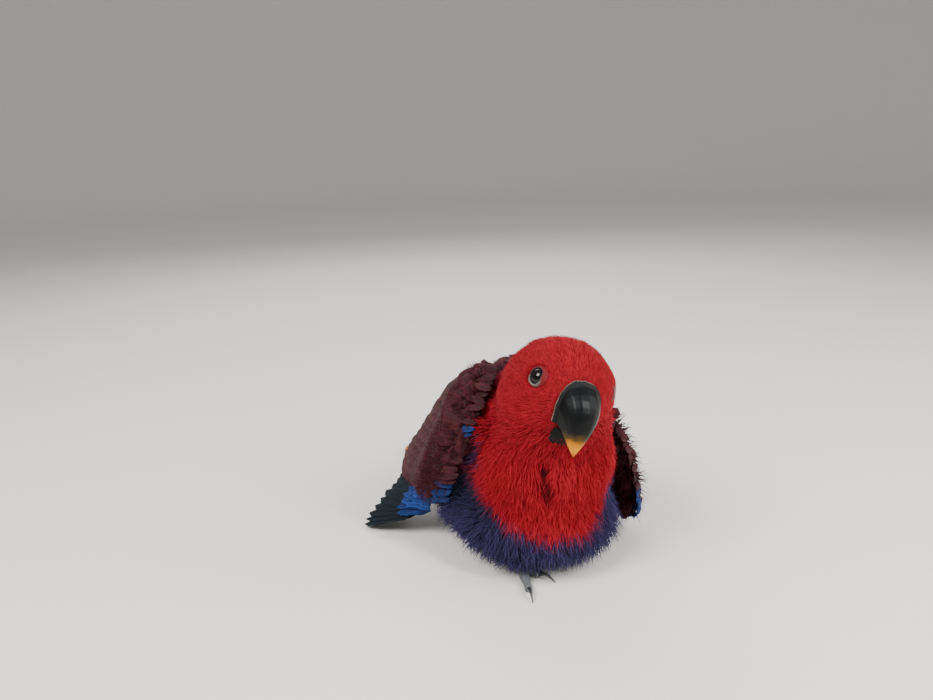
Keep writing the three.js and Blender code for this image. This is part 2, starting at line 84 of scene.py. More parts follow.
# Floor and light
# A plain pale floor that curves up into a wall all round, so that no horizon shows. The light is
# soft: a key, a fill, one from behind, and a narrow strip that draws the highlight on the bill.


def linear(hex_colour):
    """An sRGB hex colour as linear red, green, blue and alpha."""
    parts = [int(hex_colour[i : i + 2], 16) / 255 for i in (1, 3, 5)]
    return [p / 12.92 if p <= 0.04045 else ((p + 0.055) / 1.055) ** 2.4 for p in parts] + [1.0]


def add_node(tree, kind, settings=None, **links):
    """A shader node with its settings, and its inputs, by name or as i0, i1, linked or set."""
    node = tree.nodes.new(kind)
    for key, value in (settings or {}).items():
        setattr(node, key, value)
    for key, value in links.items():
        numbered = key[0] == "i" and key[1:].isdigit()
        socket = node.inputs[int(key[1:]) if numbered else key]
        if isinstance(value, bpy.types.NodeSocket):
            tree.links.new(value, socket)
        else:
            socket.default_value = value
    return node


def new_material(name, colour, roughness, **sockets):
    """A Principled material with constants on its own sockets."""
    material = bpy.data.materials.new(name)
    material.use_nodes = True
    shader = material.node_tree.nodes["Principled BSDF"]
    shader.inputs["Base Color"].default_value = linear(colour)
    shader.inputs["Roughness"].default_value = roughness
    for key, value in sockets.items():
        shader.inputs[key.replace("_", " ")].default_value = value
    return material, material.node_tree, shader


def make_object(name, shape):
    """A bmesh as an object of the scene with smooth faces."""
    mesh = bpy.data.meshes.new(name)
    shape.to_mesh(mesh)
    shape.free()
    mesh.shade_smooth()
    made = bpy.data.objects.new(name, mesh)
    bpy.context.scene.collection.objects.link(made)
    return made


FLOOR_RADIUS = 2.4
SWEEP = 0.9
WALL_TOP = 2.6
shape = bmesh.new()
outline = [(0, 0), (FLOOR_RADIUS * 0.5, 0), (FLOOR_RADIUS, 0)]
for degrees in range(10, 91, 10):
    turn = math.radians(degrees)
    outline.append((FLOOR_RADIUS + SWEEP * math.sin(turn), SWEEP * (1 - math.cos(turn))))
outline.append((FLOOR_RADIUS + SWEEP, WALL_TOP))
line = [shape.verts.new((x, 0, z)) for x, z in outline]
edges = [shape.edges.new(pair) for pair in zip(line, line[1:])]
bmesh.ops.spin(
    shape, geom=line + edges, cent=(0, 0, 0), axis=(0, 0, 1), angle=2 * math.pi, steps=96, use_merge=True
)
bmesh.ops.remove_doubles(shape, verts=shape.verts, dist=1e-5)
bmesh.ops.recalc_face_normals(shape, faces=shape.faces)
floor = make_object("floor", shape)
floor.data.materials.append(new_material("pale_floor", "#dedbd5", 0.95)[0])


def soft_light(name, at, towards, size, tall, power):
    """A rectangular area light that looks at a point."""
    data = bpy.data.lights.new(name, "AREA")
    data.shape = "RECTANGLE"
    data.size = size
    data.size_y = tall
    data.energy = power
    light = bpy.data.objects.new(name, data)
    bpy.context.scene.collection.objects.link(light)
    light.matrix_world = Matrix.Translation(at) @ (towards - at).to_track_quat("-Z", "Y").to_matrix().to_4x4()


CENTRE = place(0, 20, 60)
soft_light("key", place(-700, -250, 850), CENTRE, 0.5, 0.5, 16)
soft_light("strip", place(300, -560, 560), CENTRE, 0.1, 0.6, 7)
soft_light("back", place(200, 800, 800), CENTRE, 0.8, 0.8, 7)
soft_light("fill", place(850, -350, 420), CENTRE, 0.5, 0.9, 6)
world = bpy.data.worlds.new("surround")
world.use_nodes = True
world.node_tree.nodes["Background"].inputs["Color"].default_value = linear("#dfe3e8")
world.node_tree.nodes["Background"].inputs["Strength"].default_value = 0.6
bpy.context.scene.world = world


# Skin
# One skin over head, neck, body and the cushions of both wings, which the coat grows out of. It is
# the solids' own surface fused and smoothed, and lies inside it by the depth of the coat.

HEAD_AT = (0.8, -20, 95)
HEAD_FRAME = (
    Matrix.Translation(HEAD_AT)
    @ Matrix.Rotation(math.radians(-5), 4, "Z")
    @ Matrix.Rotation(math.radians(18), 4, "Y")
)
EYE_RADIUS = 5.0
EYE_AT = (17.2, -14.2, 7.9)
EYE_SHIFT = 0.7
EYE_TURN = math.radians(64)
EYE_TIP = math.radians(-12)
EYES = {"right": -1, "left": 1}
SKIN_VOXEL = 1.5 * MM
FACE_DEPTH = 0.6
HEAD_DEPTH = 1.6
BODY_DEPTH = 5.0
WING_DEPTH = 0.6

WINGS = {
    "right": {
        "side": -1,
        "shoulder": (20, 12, 94),
        "bend": (42, 2, 63),
        "wrist": (46, 24, 27),
        "hand": (6, 10, -8),
        "run": ((-0.08, 1, -0.3), (0, 1, -0.12), (0.96, 1, -0.6)),
    },
    "left": {
        "side": 1,
        "shoulder": (19, 12, 93),
        "bend": (54, -6, 52),
        "wrist": (46, -14, 14),
        "hand": (4, 17, -5),
        "run": ((-0.08, 1, -0.3), (0.05, 1, -0.05), (0.3, 1, 0)),
    },
}
WING_BULGE = 5.0
WING_REACH = 95.0
ARM_LENGTH = 75
CUSHION_FROM = -0.04
CUSHION_SPAN = 1.01
CUSHION_BACK = 11
CUSHION_HALF = 15
CUSHION_LIFT = 2.6
CUSHION_RISE = 4.2
CUSHION_LEAN = 0.12


def wing_point(wing, back, down):
    """A point of the wing's sheet: back along the feathers, down 0 at shoulder, 1 wrist, 2 hand's end."""
    shoulder, bend, wrist, hand = (Vector(wing[k]) for k in ("shoulder", "bend", "wrist", "hand"))
    arm = min(down, 1.0)
    past = max(down - 1.0, 0.0)
    t = max(arm, 0.0)
    start = shoulder * (1 - t) ** 2 + bend * (2 * t * (1 - t)) + wrist * t**2 + hand * past
    if arm < 0:
        start += (bend - shoulder).normalized() * arm * ARM_LENGTH
    runs = [Vector(r) for r in wing["run"]]
    if past > 0:
        course = runs[1].lerp(runs[2], min(past, 1.2) ** 2)
    else:
        course = runs[0].lerp(runs[1], max(arm, -0.1))
    point = start + course.normalized() * back
    point.x += WING_BULGE * math.sin(math.pi * min(max(back, -10), WING_REACH) / WING_REACH)
    return point


def wing_frame(wing, back, down):
    """The sheet's point, its direction along the feathers, across them, its normal and width."""
    point = wing_point(wing, back, down)
    along = (wing_point(wing, back + 0.5, down) - wing_point(wing, back - 0.5, down)).normalized()
    across = wing_point(wing, back, down + 0.01) - wing_point(wing, back, down - 0.01)
    width = across.length / 0.02
    normal = along.cross(across).normalized()
    if normal.x < 0:
        normal.negate()
    across = normal.cross(along).normalized()
    if across.dot(wing_point(wing, back, down + 0.01) - point) < 0:
        across.negate()
    flip = Matrix.Diagonal((wing["side"], 1, 1))
    return flip @ point, flip @ along, flip @ across, flip @ normal, width


def cushion_fade(share):
    """How full the arm's cushion is, from the shoulder, 0, to the wrist, 1."""
    return math.sin(math.pi * (0.14 + 0.72 * share)) ** 0.5


def arm_cushion(shape, wing):
    """Rings of the arm's cushion, bridged into a closed pad."""
    rings = []
    steps = 14
    sides = 20
    for i in range(steps + 1):
        down = CUSHION_FROM + CUSHION_SPAN * i / steps
        fade = cushion_fade(i / steps)
        ring = []
        for k in range(sides):
            turn = 2 * math.pi * k / sides
            back = CUSHION_BACK + CUSHION_HALF * fade * math.cos(turn)
            lean = CUSHION_LEAN * (back - CUSHION_BACK)
            rise = CUSHION_LIFT + CUSHION_RISE * fade * math.sin(turn) - lean
            point, _, _, normal, _ = wing_frame(wing, back, down)
            ring.append(shape.verts.new(MIDDLE + (point + normal * rise) * MM))
        rings.append([shape.edges.new((ring[k], ring[(k + 1) % sides])) for k in range(sides)])
    for a, b in zip(rings, rings[1:]):
        bmesh.ops.bridge_loops(shape, edges=a + b)
    bmesh.ops.holes_fill(shape, edges=rings[0] + rings[-1])


def copy_of(node, grow=0.0):
    """A CAD node's mesh as one closed surface, grown outwards by so many metres."""
    shape = bmesh.new()
    shape.from_mesh(nodes[node].data)
    bmesh.ops.remove_doubles(shape, verts=shape.verts, dist=1e-5)
    shape.normal_update()
    for vertex in shape.verts:
        vertex.co += vertex.normal * grow
    return shape


def fuse(made, voxel, smooth):
    """The object remade as one closed surface of even small faces, and smoothed."""
    remesh = made.modifiers.new("remesh", "REMESH")
    remesh.mode = "VOXEL"
    remesh.voxel_size = voxel
    remesh.use_smooth_shade = True
    soften = made.modifiers.new("soften", "SMOOTH")
    soften.factor = 0.5
    soften.iterations = smooth
    bpy.context.view_layer.update()
    fused = bpy.data.meshes.new_from_object(made.evaluated_get(bpy.context.evaluated_depsgraph_get()))
    made.modifiers.clear()
    old = made.data
    made.data = fused
    fused.name = made.name
    bpy.data.meshes.remove(old)
    return made


joined = bmesh.new()
for node in ("head", "neck", "torso"):
    part = copy_of(node, 0.35 * MM)
    mesh = bpy.data.meshes.new("part")
    part.to_mesh(mesh)
    part.free()
    joined.from_mesh(mesh)
    bpy.data.meshes.remove(mesh)
for wing in WINGS.values():
    arm_cushion(joined, wing)
bmesh.ops.recalc_face_normals(joined, faces=joined.faces)
skin = fuse(make_object("skin", joined), SKIN_VOXEL, 5)


def coordinates(mesh):
    """The mesh's vertices and normals as arrays, the vertices in the bird's own millimetres."""
    points = np.empty(len(mesh.vertices) * 3, np.float32)
    normals = np.empty(len(mesh.vertices) * 3, np.float32)
    mesh.vertices.foreach_get("co", points)
    mesh.vertices.foreach_get("normal", normals)
    points = points.reshape(-1, 3).astype(float)
    return (points - np.array(MIDDLE)) / MM, normals.reshape(-1, 3).astype(float)


def tree_of(*names):
    """A search tree over CAD nodes, in the bird's own millimetres."""
    points, faces = [], []
    for name in names:
        own, _ = coordinates(nodes[name].data)
        faces += [[v + len(points) for v in p.vertices] for p in nodes[name].data.polygons]
        points += own.tolist()
    return BVHTree.FromPolygons(points, faces)


def smoothstep(low, high, value):
    """0 at low, 1 at high, and a smooth rise between them. Low may be the greater of the two."""
    share = np.clip((value - low) / (high - low), 0, 1)
    return share * share * (3 - 2 * share)


def eye_frame(side):
    """Where an eye sits and looks, in the bird's own millimetres: it looks along its own -Y."""
    return (
        HEAD_FRAME
        @ Matrix.Translation((EYE_SHIFT + side * EYE_AT[0], *EYE_AT[1:]))
        @ Matrix.Rotation(side * EYE_TURN, 4, "Z")
        @ Matrix.Rotation(EYE_TIP, 4, "X")
    )


def eye_centre(side):
    """The middle of an eye as an array."""
    return np.array(eye_frame(side).translation)


bill_tree = tree_of("bill_upper", "bill_lower", "cere")
lower_tree = tree_of("bill_lower")
EYE_RIM = 6.4


def face_distance(points):
    """How far each point is from the bill and the rims of the eyes."""
    to_bill = np.array([bill_tree.find_nearest(Vector(p))[3] for p in points])
    to_eye = np.min([np.linalg.norm(points - eye_centre(s), axis=1) for s in EYES.values()], axis=0)
    return np.minimum(to_bill, np.maximum(to_eye - EYE_RIM, 0))


BIB_MIDDLE = -6.0
BIB_HALF_WIDTH = 26.5
BIB_TOP = 60.0
BIB_DROP = 28.5


def bib_height(points):
    """Rough distance inside the red: a rounded bib down the breast, and the whole of the head."""
    x, y, z = points.T
    sway = 0.9 * np.sin(x * 0.45) + 0.7 * np.sin(z * 0.6 + 1.3)
    across = np.abs((x - BIB_MIDDLE) / BIB_HALF_WIDTH) ** 3
    below = np.clip((BIB_TOP - z) / BIB_DROP, 0, 2) ** 3
    bib = np.minimum(14 * (1 - across - below), 6 - y)
    hood = 0.53 * (z - 60) - 0.85 * (y + 6)
    share = smoothstep(50, 68, z)
    return bib + (hood - bib) * share + sway


body_tree = tree_of("head", "neck", "torso")


def wing_share(points):
    """1 on the cushions of the wings, which stand out from the body, and 0 on the body."""
    share = np.zeros(len(points))
    for i in np.nonzero((np.abs(points[:, 0]) > 14) & (points[:, 1] > -34))[0]:
        near, normal, _, _ = body_tree.find_nearest(Vector(points[i]))
        share[i] = (Vector(points[i]) - near).dot(normal)
    return smoothstep(1.0, 3.0, share)


points, normals = coordinates(skin.data)
on_wing = wing_share(points)
on_head = smoothstep(-30, 0, (points - np.array(HEAD_AT)) @ np.array((0.05, -0.42, 0.9)) + 20)
depth = BODY_DEPTH + (HEAD_DEPTH - BODY_DEPTH) * on_head
depth = depth + (WING_DEPTH - depth) * on_wing
near = np.full(len(points), 30.0)
near[on_head > 0] = face_distance(points[on_head > 0])
depth = FACE_DEPTH + (depth - FACE_DEPTH) * smoothstep(0, 9, near)
points = points - normals * depth[:, None]
skin.data.vertices.foreach_set("co", ((points * MM) + np.array(MIDDLE)).astype(np.float32).ravel())
skin.data.update()
bpy.context.view_layer.objects.active = skin
skin.select_set(True)
bpy.ops.object.mode_set(mode="EDIT")
bpy.ops.mesh.select_all(action="SELECT")
bpy.ops.mesh.quads_convert_to_tris()
bpy.ops.uv.smart_project(angle_limit=math.radians(66), island_margin=0.004)
bpy.ops.object.mode_set(mode="OBJECT")
skin.data.uv_layers[0].name = "OFBake"


# Markings
# The colours that skin and coat share: red head and breast, a violet collar and belly, and maroon
# on the back and wings, each melting into the next over a few millimetres. The parting down the
# breast is darkened with painted shade.

RED = "#a81a27"
RED_BREAST = "#b01c29"
NAVY = "#23273d"
VIOLET = "#3a335a"
MAROON = "#40141b"


def mixed(a, b, share):
    """Colours between a and b, one for each share."""
    return a + (b - a) * share[:, None]


CLEFT_FROM = np.array((-13.5, -34, 66))
CLEFT_TO = np.array((-10.5, -36, 51))


def cleft(points):
    """1 in the short parting down the middle of the breast, 0 a few millimetres off it."""
    run = CLEFT_TO - CLEFT_FROM
    share = np.clip((points - CLEFT_FROM) @ run / (run @ run), 0, 1)
    off = points - CLEFT_FROM - share[:, None] * run
    return smoothstep(4.6, 1.2, np.linalg.norm(off * (1, 0.25, 1), axis=1))


def markings(points, wing):
    """The plumage's linear colour at points in the bird's own millimetres."""
    red = mixed(np.array(linear(RED)), np.array(linear(RED_BREAST)), smoothstep(80, 60, points[:, 2]))
    # Painted shade: the red darkens by up to 85 % in the parting down the breast.
    red = red * (1 - 0.85 * cleft(points))[:, None]
    flank = smoothstep(-20, -38, points[:, 0]) * smoothstep(24, 40, points[:, 2])
    violet = mixed(np.array(linear(VIOLET)), np.array(linear(NAVY)), flank)
    back = smoothstep(-4, 4, points[:, 2] - 66 + 0.45 * (points[:, 1] - 30))
    back = np.maximum(back * smoothstep(14, 22, points[:, 1]), wing)
    body = mixed(violet, np.array(linear(MAROON)), back)
    return mixed(body, red, smoothstep(-2.5, 2.5, bib_height(points)) * (1 - wing))


def paint(mesh, colours):
    """Stores a colour at every vertex, for the piece's material to read."""
    layer = mesh.color_attributes.new("plume", "FLOAT_COLOR", "POINT")
    layer.data.foreach_set("color", colours.astype(np.float32).ravel())


BARB_WAVE = 700.0
BARB_SLANT = -1.3


def plumage_material(name, roughness, barbs):
    """Keratin feathers: dull, with soft changes of tone. Vanes have ripples 9 mm apart for the
    slant of the barbs, which are too fine to show one by one."""
    material, tree, shader = new_material(name, "#808080", roughness, Specular_IOR_Level=0.15)
    colour = add_node(tree, "ShaderNodeVertexColor", {"layer_name": "plume"})
    where = add_node(tree, "ShaderNodeTexCoord")
    grain = add_node(tree, "ShaderNodeTexNoise", {}, Vector=where.outputs["Object"], Scale=420.0, Detail=3.0)
    light = add_node(tree, "ShaderNodeMapRange", {}, Value=grain.outputs["Fac"])
    light.inputs["To Min"].default_value = 0.72
    light.inputs["To Max"].default_value = 1.28
    mix = add_node(tree, "ShaderNodeVectorMath", {"operation": "SCALE"})
    tree.links.new(colour.outputs["Color"], mix.inputs[0])
    tree.links.new(light.outputs["Result"], mix.inputs["Scale"])
    tree.links.new(mix.outputs["Vector"], shader.inputs["Base Color"])
    if barbs:
        uv = add_node(tree, "ShaderNodeUVMap", {"uv_map": "Vane"})
        parts = add_node(tree, "ShaderNodeSeparateXYZ", {}, Vector=uv.outputs["UV"])
        off = add_node(tree, "ShaderNodeMath", {"operation": "ABSOLUTE"}, i0=parts.outputs["X"])
        lean = add_node(tree, "ShaderNodeMath", {"operation": "MULTIPLY"}, i0=off.outputs[0], i1=BARB_SLANT)
        run = add_node(
            tree, "ShaderNodeMath", {"operation": "ADD"}, i0=lean.outputs[0], i1=parts.outputs["Y"]
        )
        beat = add_node(tree, "ShaderNodeMath", {"operation": "MULTIPLY"}, i0=run.outputs[0], i1=BARB_WAVE)
        wave = add_node(tree, "ShaderNodeMath", {"operation": "SINE"}, i0=beat.outputs[0])
        bump = add_node(tree, "ShaderNodeBump", {}, Strength=0.35, Distance=0.0002, Height=wave.outputs[0])
        tree.links.new(bump.outputs["Normal"], shader.inputs["Normal"])
    return material


down_material = plumage_material("soft_plumage", 0.9, False)
vane_material = plumage_material("feather_vanes", 0.7, True)
# Painted shade: the skin under the coat takes this share of the markings' colour, for the shade deep in the
# coat.
SKIN_SHADE = 0.45

colours = markings(points, on_wing)
colours[:, :3] *= SKIN_SHADE
paint(skin.data, colours)
skin.data.materials.append(down_material)
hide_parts("head", "neck", "torso")
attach(skin, "root")


# Roots
# Where the coat grows: points spread over the skin's faces, each with its normal, the lie of the
# coat there, and its place on the skin's own unwrap for the bake map.

BILL_ROOT = np.array(HEAD_FRAME @ Vector((0, -24, -1)))
rng = np.random.default_rng(11)


def unit(vectors):
    """The vectors of an array, each at length 1."""
    return vectors / np.maximum(np.linalg.norm(vectors, axis=-1, keepdims=True), 1e-9)


def lie_of_coat(points, normals):
    """The coat streams back from the bill over the head, down the breast and back along the body."""
    away = unit(points - BILL_ROOT)
    on_head = smoothstep(62, 88, points[:, 2]) * smoothstep(30, 0, points[:, 1])
    front = smoothstep(10, -25, points[:, 1])
    body = front[:, None] * np.array((0, 0.1, -1.0)) + (1 - front[:, None]) * np.array((0, 1.0, -0.45))
    body[:, 2] *= smoothstep(2, 16, points[:, 2])
    body[:, :2] += normals[:, :2] * smoothstep(14, 4, points[:, 2])[:, None]
    course = away * on_head[:, None] + (1 - on_head[:, None]) * body
    return unit(course - normals * np.sum(course * normals, axis=1, keepdims=True))


def skin_triangles():
    """The skin's triangles: their corners, and the places of those on the unwrap."""
    mesh = skin.data
    corners = np.empty(len(mesh.loops), np.int32)
    mesh.loops.foreach_get("vertex_index", corners)
    corners = corners.reshape(-1, 3)
    uv = np.empty(len(mesh.loops) * 2, np.float32)
    mesh.uv_layers["OFBake"].uv.foreach_get("vector", uv)
    return corners, uv.reshape(-1, 3, 2)


points, normals = coordinates(skin.data)
corners, corner_uv = skin_triangles()
skin_tree = BVHTree.FromPolygons(points.tolist(), corners.tolist())
first, second, third = (points[corners[:, i]] for i in range(3))
areas = np.linalg.norm(np.cross(second - first, third - first), axis=1)


def scatter(count, density):
    """About count roots over the skin, as thick as density says at each face."""
    centres = points[corners].mean(1)
    weight = areas * density(centres, on_wing[corners].mean(1))
    steps = (np.arange(count) + rng.random(count)) / count * weight.sum()
    chosen = np.searchsorted(np.cumsum(weight), steps).clip(0, len(weight) - 1)
    a = rng.random((count, 2))
    a[a.sum(1) > 1] = 1 - a[a.sum(1) > 1]
    shares = np.column_stack((1 - a.sum(1), a))[:, :, None]
    at = (points[corners[chosen]] * shares).sum(1)
    out = unit((normals[corners[chosen]] * shares).sum(1))
    uv = (corner_uv[chosen] * shares).sum(1)
    wing = (on_wing[corners[chosen]] * shares[:, :, 0]).sum(1)
    return at, out, uv, wing


FACE_REACH = 40
BILL_ABOVE = 6.0
BILL_CLEAR = 0.5
LOWER_CLEAR = 1.8
LID_CLEAR = 4.7
LID_BEHIND = 4


def clear_of_bare_parts(at, out):
    """False where a root lies under the bill, an eye or a lid."""
    free = np.ones(len(at), bool)
    for i in np.nonzero(np.linalg.norm(at - BILL_ROOT, axis=1) < FACE_REACH)[0]:
        start = Vector(at[i])
        hit = bill_tree.ray_cast(start, Vector(out[i]), BILL_ABOVE)
        free[i] = hit[0] is None and bill_tree.find_nearest(start)[3] > BILL_CLEAR
        free[i] &= lower_tree.find_nearest(start)[3] > LOWER_CLEAR
    for side in EYES.values():
        off = np.array(eye_frame(side).inverted())
        near = at @ off[:3, :3].T + off[:3, 3]
        free &= (np.hypot(near[:, 0], near[:, 2]) > LID_CLEAR) | (near[:, 1] > LID_BEHIND)
    return free


def joined_mesh(name, points, triangles, colours, bake, vane=None):
    """One mesh of many small pieces, from arrays, with its colours and bake map."""
    mesh = bpy.data.meshes.new(name)
    mesh.vertices.add(len(points))
    mesh.vertices.foreach_set("co", (points * MM + np.array(MIDDLE)).astype(np.float32).ravel())
    mesh.loops.add(triangles.size)
    mesh.loops.foreach_set("vertex_index", triangles.astype(np.int32).ravel())
    mesh.polygons.add(len(triangles))
    mesh.polygons.foreach_set("loop_start", np.arange(len(triangles), dtype=np.int32) * 3)
    mesh.update(calc_edges=True)
    mesh.shade_smooth()
    layer = mesh.uv_layers.new(name="OFBake")
    layer.uv.foreach_set("vector", bake[triangles.ravel()].astype(np.float32).ravel())
    if vane is not None:
        layer = mesh.uv_layers.new(name="Vane")
        layer.uv.foreach_set("vector", vane[triangles.ravel()].astype(np.float32).ravel())
    paint(mesh, colours)
    made = bpy.data.objects.new(name, mesh)
    bpy.context.scene.collection.objects.link(made)
    made.data.materials.append(down_material if vane is None else vane_material)
    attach(made, "root")
    return made


# Soft plumage
# The hair-like feathers of a parrot's head, breast and belly: thin tapered locks, each a closed
# three-sided spike that bends along the lie of the coat, with painted shade at the root that gives
# way to a lighter tip.

PATCH = 0.003
SHORT_LOCK = (0.0, 0.6)
LONG_LOCK = (0.0, 0.4, 0.75)
FLOOR_CLEAR = 0.35
LOCK_BEND = 0.35
TIP_TONE = 1.15


def locks(name, roots, length, lift, width, spread, rings, tones):
    """A coat of locks from its roots, with lengths and widths in millimetres and lifts in degrees."""
    at, out, uv, wing = roots
    count = len(at)
    lie = lie_of_coat(at, out)
    side = np.cross(out, lie)
    turn = rng.normal(0, spread, count) + 0.25 * np.sin(at[:, 0] * 0.9 + 2 * np.sin(at[:, 2] * 0.35))
    lie = unit(lie * np.cos(turn)[:, None] + side * np.sin(turn)[:, None])
    side = np.cross(out, lie)
    lift = np.radians(lift * rng.uniform(0.5, 1.5, count))
    length = length * rng.uniform(0.7, 1.25, count)
    drift = rng.normal(0, 0.12, count)
    spikes = []
    for share in (*rings, 1.0):
        rise = np.sin(lift) * (share - LOCK_BEND * share**2)
        run = np.cos(lift) * share
        sway = drift * share**2
        course = lie * run[:, None] + out * rise[:, None] + side * sway[:, None]
        centre = at + course * length[:, None]
        if share == 1.0:
            spikes.append(centre[:, None])
            continue
        reach = width * (1 - share**1.6) * 0.5
        ring = [
            centre
            + side * (reach * math.cos(turn))[:, None]
            + out * (reach * 0.6 * math.sin(turn))[:, None]
            for turn in (math.radians(a) for a in (90, 210, 330))
        ]
        spikes.append(np.stack(ring, 1))
    body = np.concatenate(spikes, 1)
    sunk = FLOOR_CLEAR - body[:, :, 2].min(1)
    body[:, :, 2] += np.maximum(sunk, 0)[:, None]
    per = body.shape[1]
    faces = [(0, 2, 1)]
    for r in range(len(rings) - 1):
        for k in range(3):
            a, b = 3 * r + k, 3 * r + (k + 1) % 3
            faces += [(a, b, b + 3), (a, b + 3, a + 3)]
    last = 3 * (len(rings) - 1)
    faces += [(last + k, last + (k + 1) % 3, per - 1) for k in range(3)]
    triangles = (np.array(faces)[None] + (np.arange(count) * per)[:, None, None]).reshape(-1, 3)
    # Painted shade along each lock: its colour is darkened at the root and rises to TIP_TONE at the tip.
    shade = np.array([*np.repeat(rings, 3), 1.0])
    root_shade, uneven = tones
    own_tone = rng.uniform(1 - uneven, 1 + uneven, count)
    tone = (root_shade + (TIP_TONE - root_shade) * shade)[None] * own_tone[:, None]
    colours = np.ones((count, per, 4))
    colours[:, :, :3] = markings(at, wing)[:, None, :3] * tone[:, :, None]
    across = np.tile((0.5, 0.1, 0.9), len(rings)).tolist() + [0.5]
    local = np.column_stack((across, shade)) - 0.5
    bake = uv[:, None] + local[None] * PATCH
    return joined_mesh(name, body.reshape(-1, 3), triangles, colours.reshape(-1, 4), bake.reshape(-1, 2))


# tones gives the painted shade at a lock's root, as a share of its colour, and how much locks differ at
# random.
def coat(name, pieces, roots, length, lift, width, spread, rings, tones=(0.4, 0.21)):
    """A coat in a few pieces, parted from one side of the bird to the other."""
    sizes = [np.broadcast_to(v, len(roots[0])) for v in (length, lift, width)]
    for i, part in enumerate(np.array_split(np.argsort(roots[0][:, 0]), pieces)):
        own = [v[part] for v in roots]
        made = locks(f"{name}_{i + 1}", own, *(v[part] for v in sizes), spread, rings, tones)


HEAD_LOCKS = 40000


def head_share(p, w):
    return smoothstep(-14, -2, bib_height(p)) * smoothstep(64, 84, p[:, 2]) * (w < 0.5)


roots = scatter(HEAD_LOCKS, head_share)
free = clear_of_bare_parts(roots[0], roots[1])
roots = [v[free] for v in roots]
near = smoothstep(0, 16, face_distance(roots[0]))
length = 1.9 + 5.1 * near
lift = 14 + 8 * near
width = 0.36 + 0.18 * near
coat("head_plumage", 3, roots, length, lift, width, 0.13, SHORT_LOCK, (0.62, 0.1))

BREAST_LOCKS = 19500


def breast_share(p, w):
    low = smoothstep(88, 70, p[:, 2])
    return smoothstep(-5, 0, bib_height(p)) * low * smoothstep(20, 8, p[:, 1]) * (w < 0.5)


roots = scatter(BREAST_LOCKS, breast_share)
lift = 26 - 20 * cleft(roots[0])
length = (12.5 - 6 * cleft(roots[0])) * (1 - 0.35 * smoothstep(62, 80, roots[0][:, 2]))
coat("breast_plumage", 3, roots, length, lift, 0.6, 0.2, LONG_LOCK, (0.5, 0.15))

BELLY_LOCKS = 21000


def belly_share(p, w):
    low = smoothstep(82, 60, p[:, 2])
    return smoothstep(3, -2, bib_height(p)) * low * smoothstep(1.5, 6, p[:, 2]) * (w < 0.6)


roots = scatter(BELLY_LOCKS, belly_share)
low = smoothstep(22, 8, roots[0][:, 2])
coat("belly_plumage", 3, roots, 14 - 3 * low, 30 - 6 * low, 0.78, 0.32, LONG_LOCK)

FLANK_LOCKS = 4000


def flank_share(p, w):
    """The loose plumage of the flanks that stands up over the fore edge of each wing."""
    near = smoothstep(3, 7, np.min([np.linalg.norm(p - e, axis=1) for e in fore_edges], axis=0) - 5)
    return (1 - near) * (w < 0.4) * smoothstep(8, 16, p[:, 2]) * (p[:, 2] < 78)


fore_edges = []
for wing in WINGS.values():
    for step in range(11):
        fore_edges.append(np.array(wing_frame(wing, -4, step / 10)[0]))
roots = scatter(FLANK_LOCKS, flank_share)
coat("flank_plumage", 1, roots, 15, 48, 0.7, 0.3, LONG_LOCK)

WING_LOCKS = 6500
roots = scatter(WING_LOCKS, lambda p, w: w > 0.3)
coat("wing_plumage", 1, roots, 12, 42, 0.7, 0.4, LONG_LOCK)

MANTLE_LOCKS = 3500


def mantle_share(p, w):
    """The ruffled maroon plumage on top of the shoulders and the mantle."""
    return (bib_height(p) < -2) * smoothstep(70, 84, p[:, 2]) * (p[:, 1] > 8)


roots = scatter(MANTLE_LOCKS, mantle_share)
coat("mantle_plumage", 1, roots, 13, 42, 0.7, 0.35, LONG_LOCK)


# Vanes
# Feathers with a shaft and two webs, as thin closed blades. A tier of them is one mesh. Each has
# its rachis line with the direction across it and its normal at every station along it.

COLUMNS = np.array((-1, -0.62, -0.25, 0, 0.25, 0.62, 1.0))


def vane_outline(share, root=0.35, tip=0.72):
    """Half the width of a vane along its length, as a share of the greatest."""
    full = np.minimum(1, root + share * 2.4)
    return full * np.sqrt(1 - 0.985 * np.clip((share - tip) / (1 - tip), 0, 1) ** 2.2)


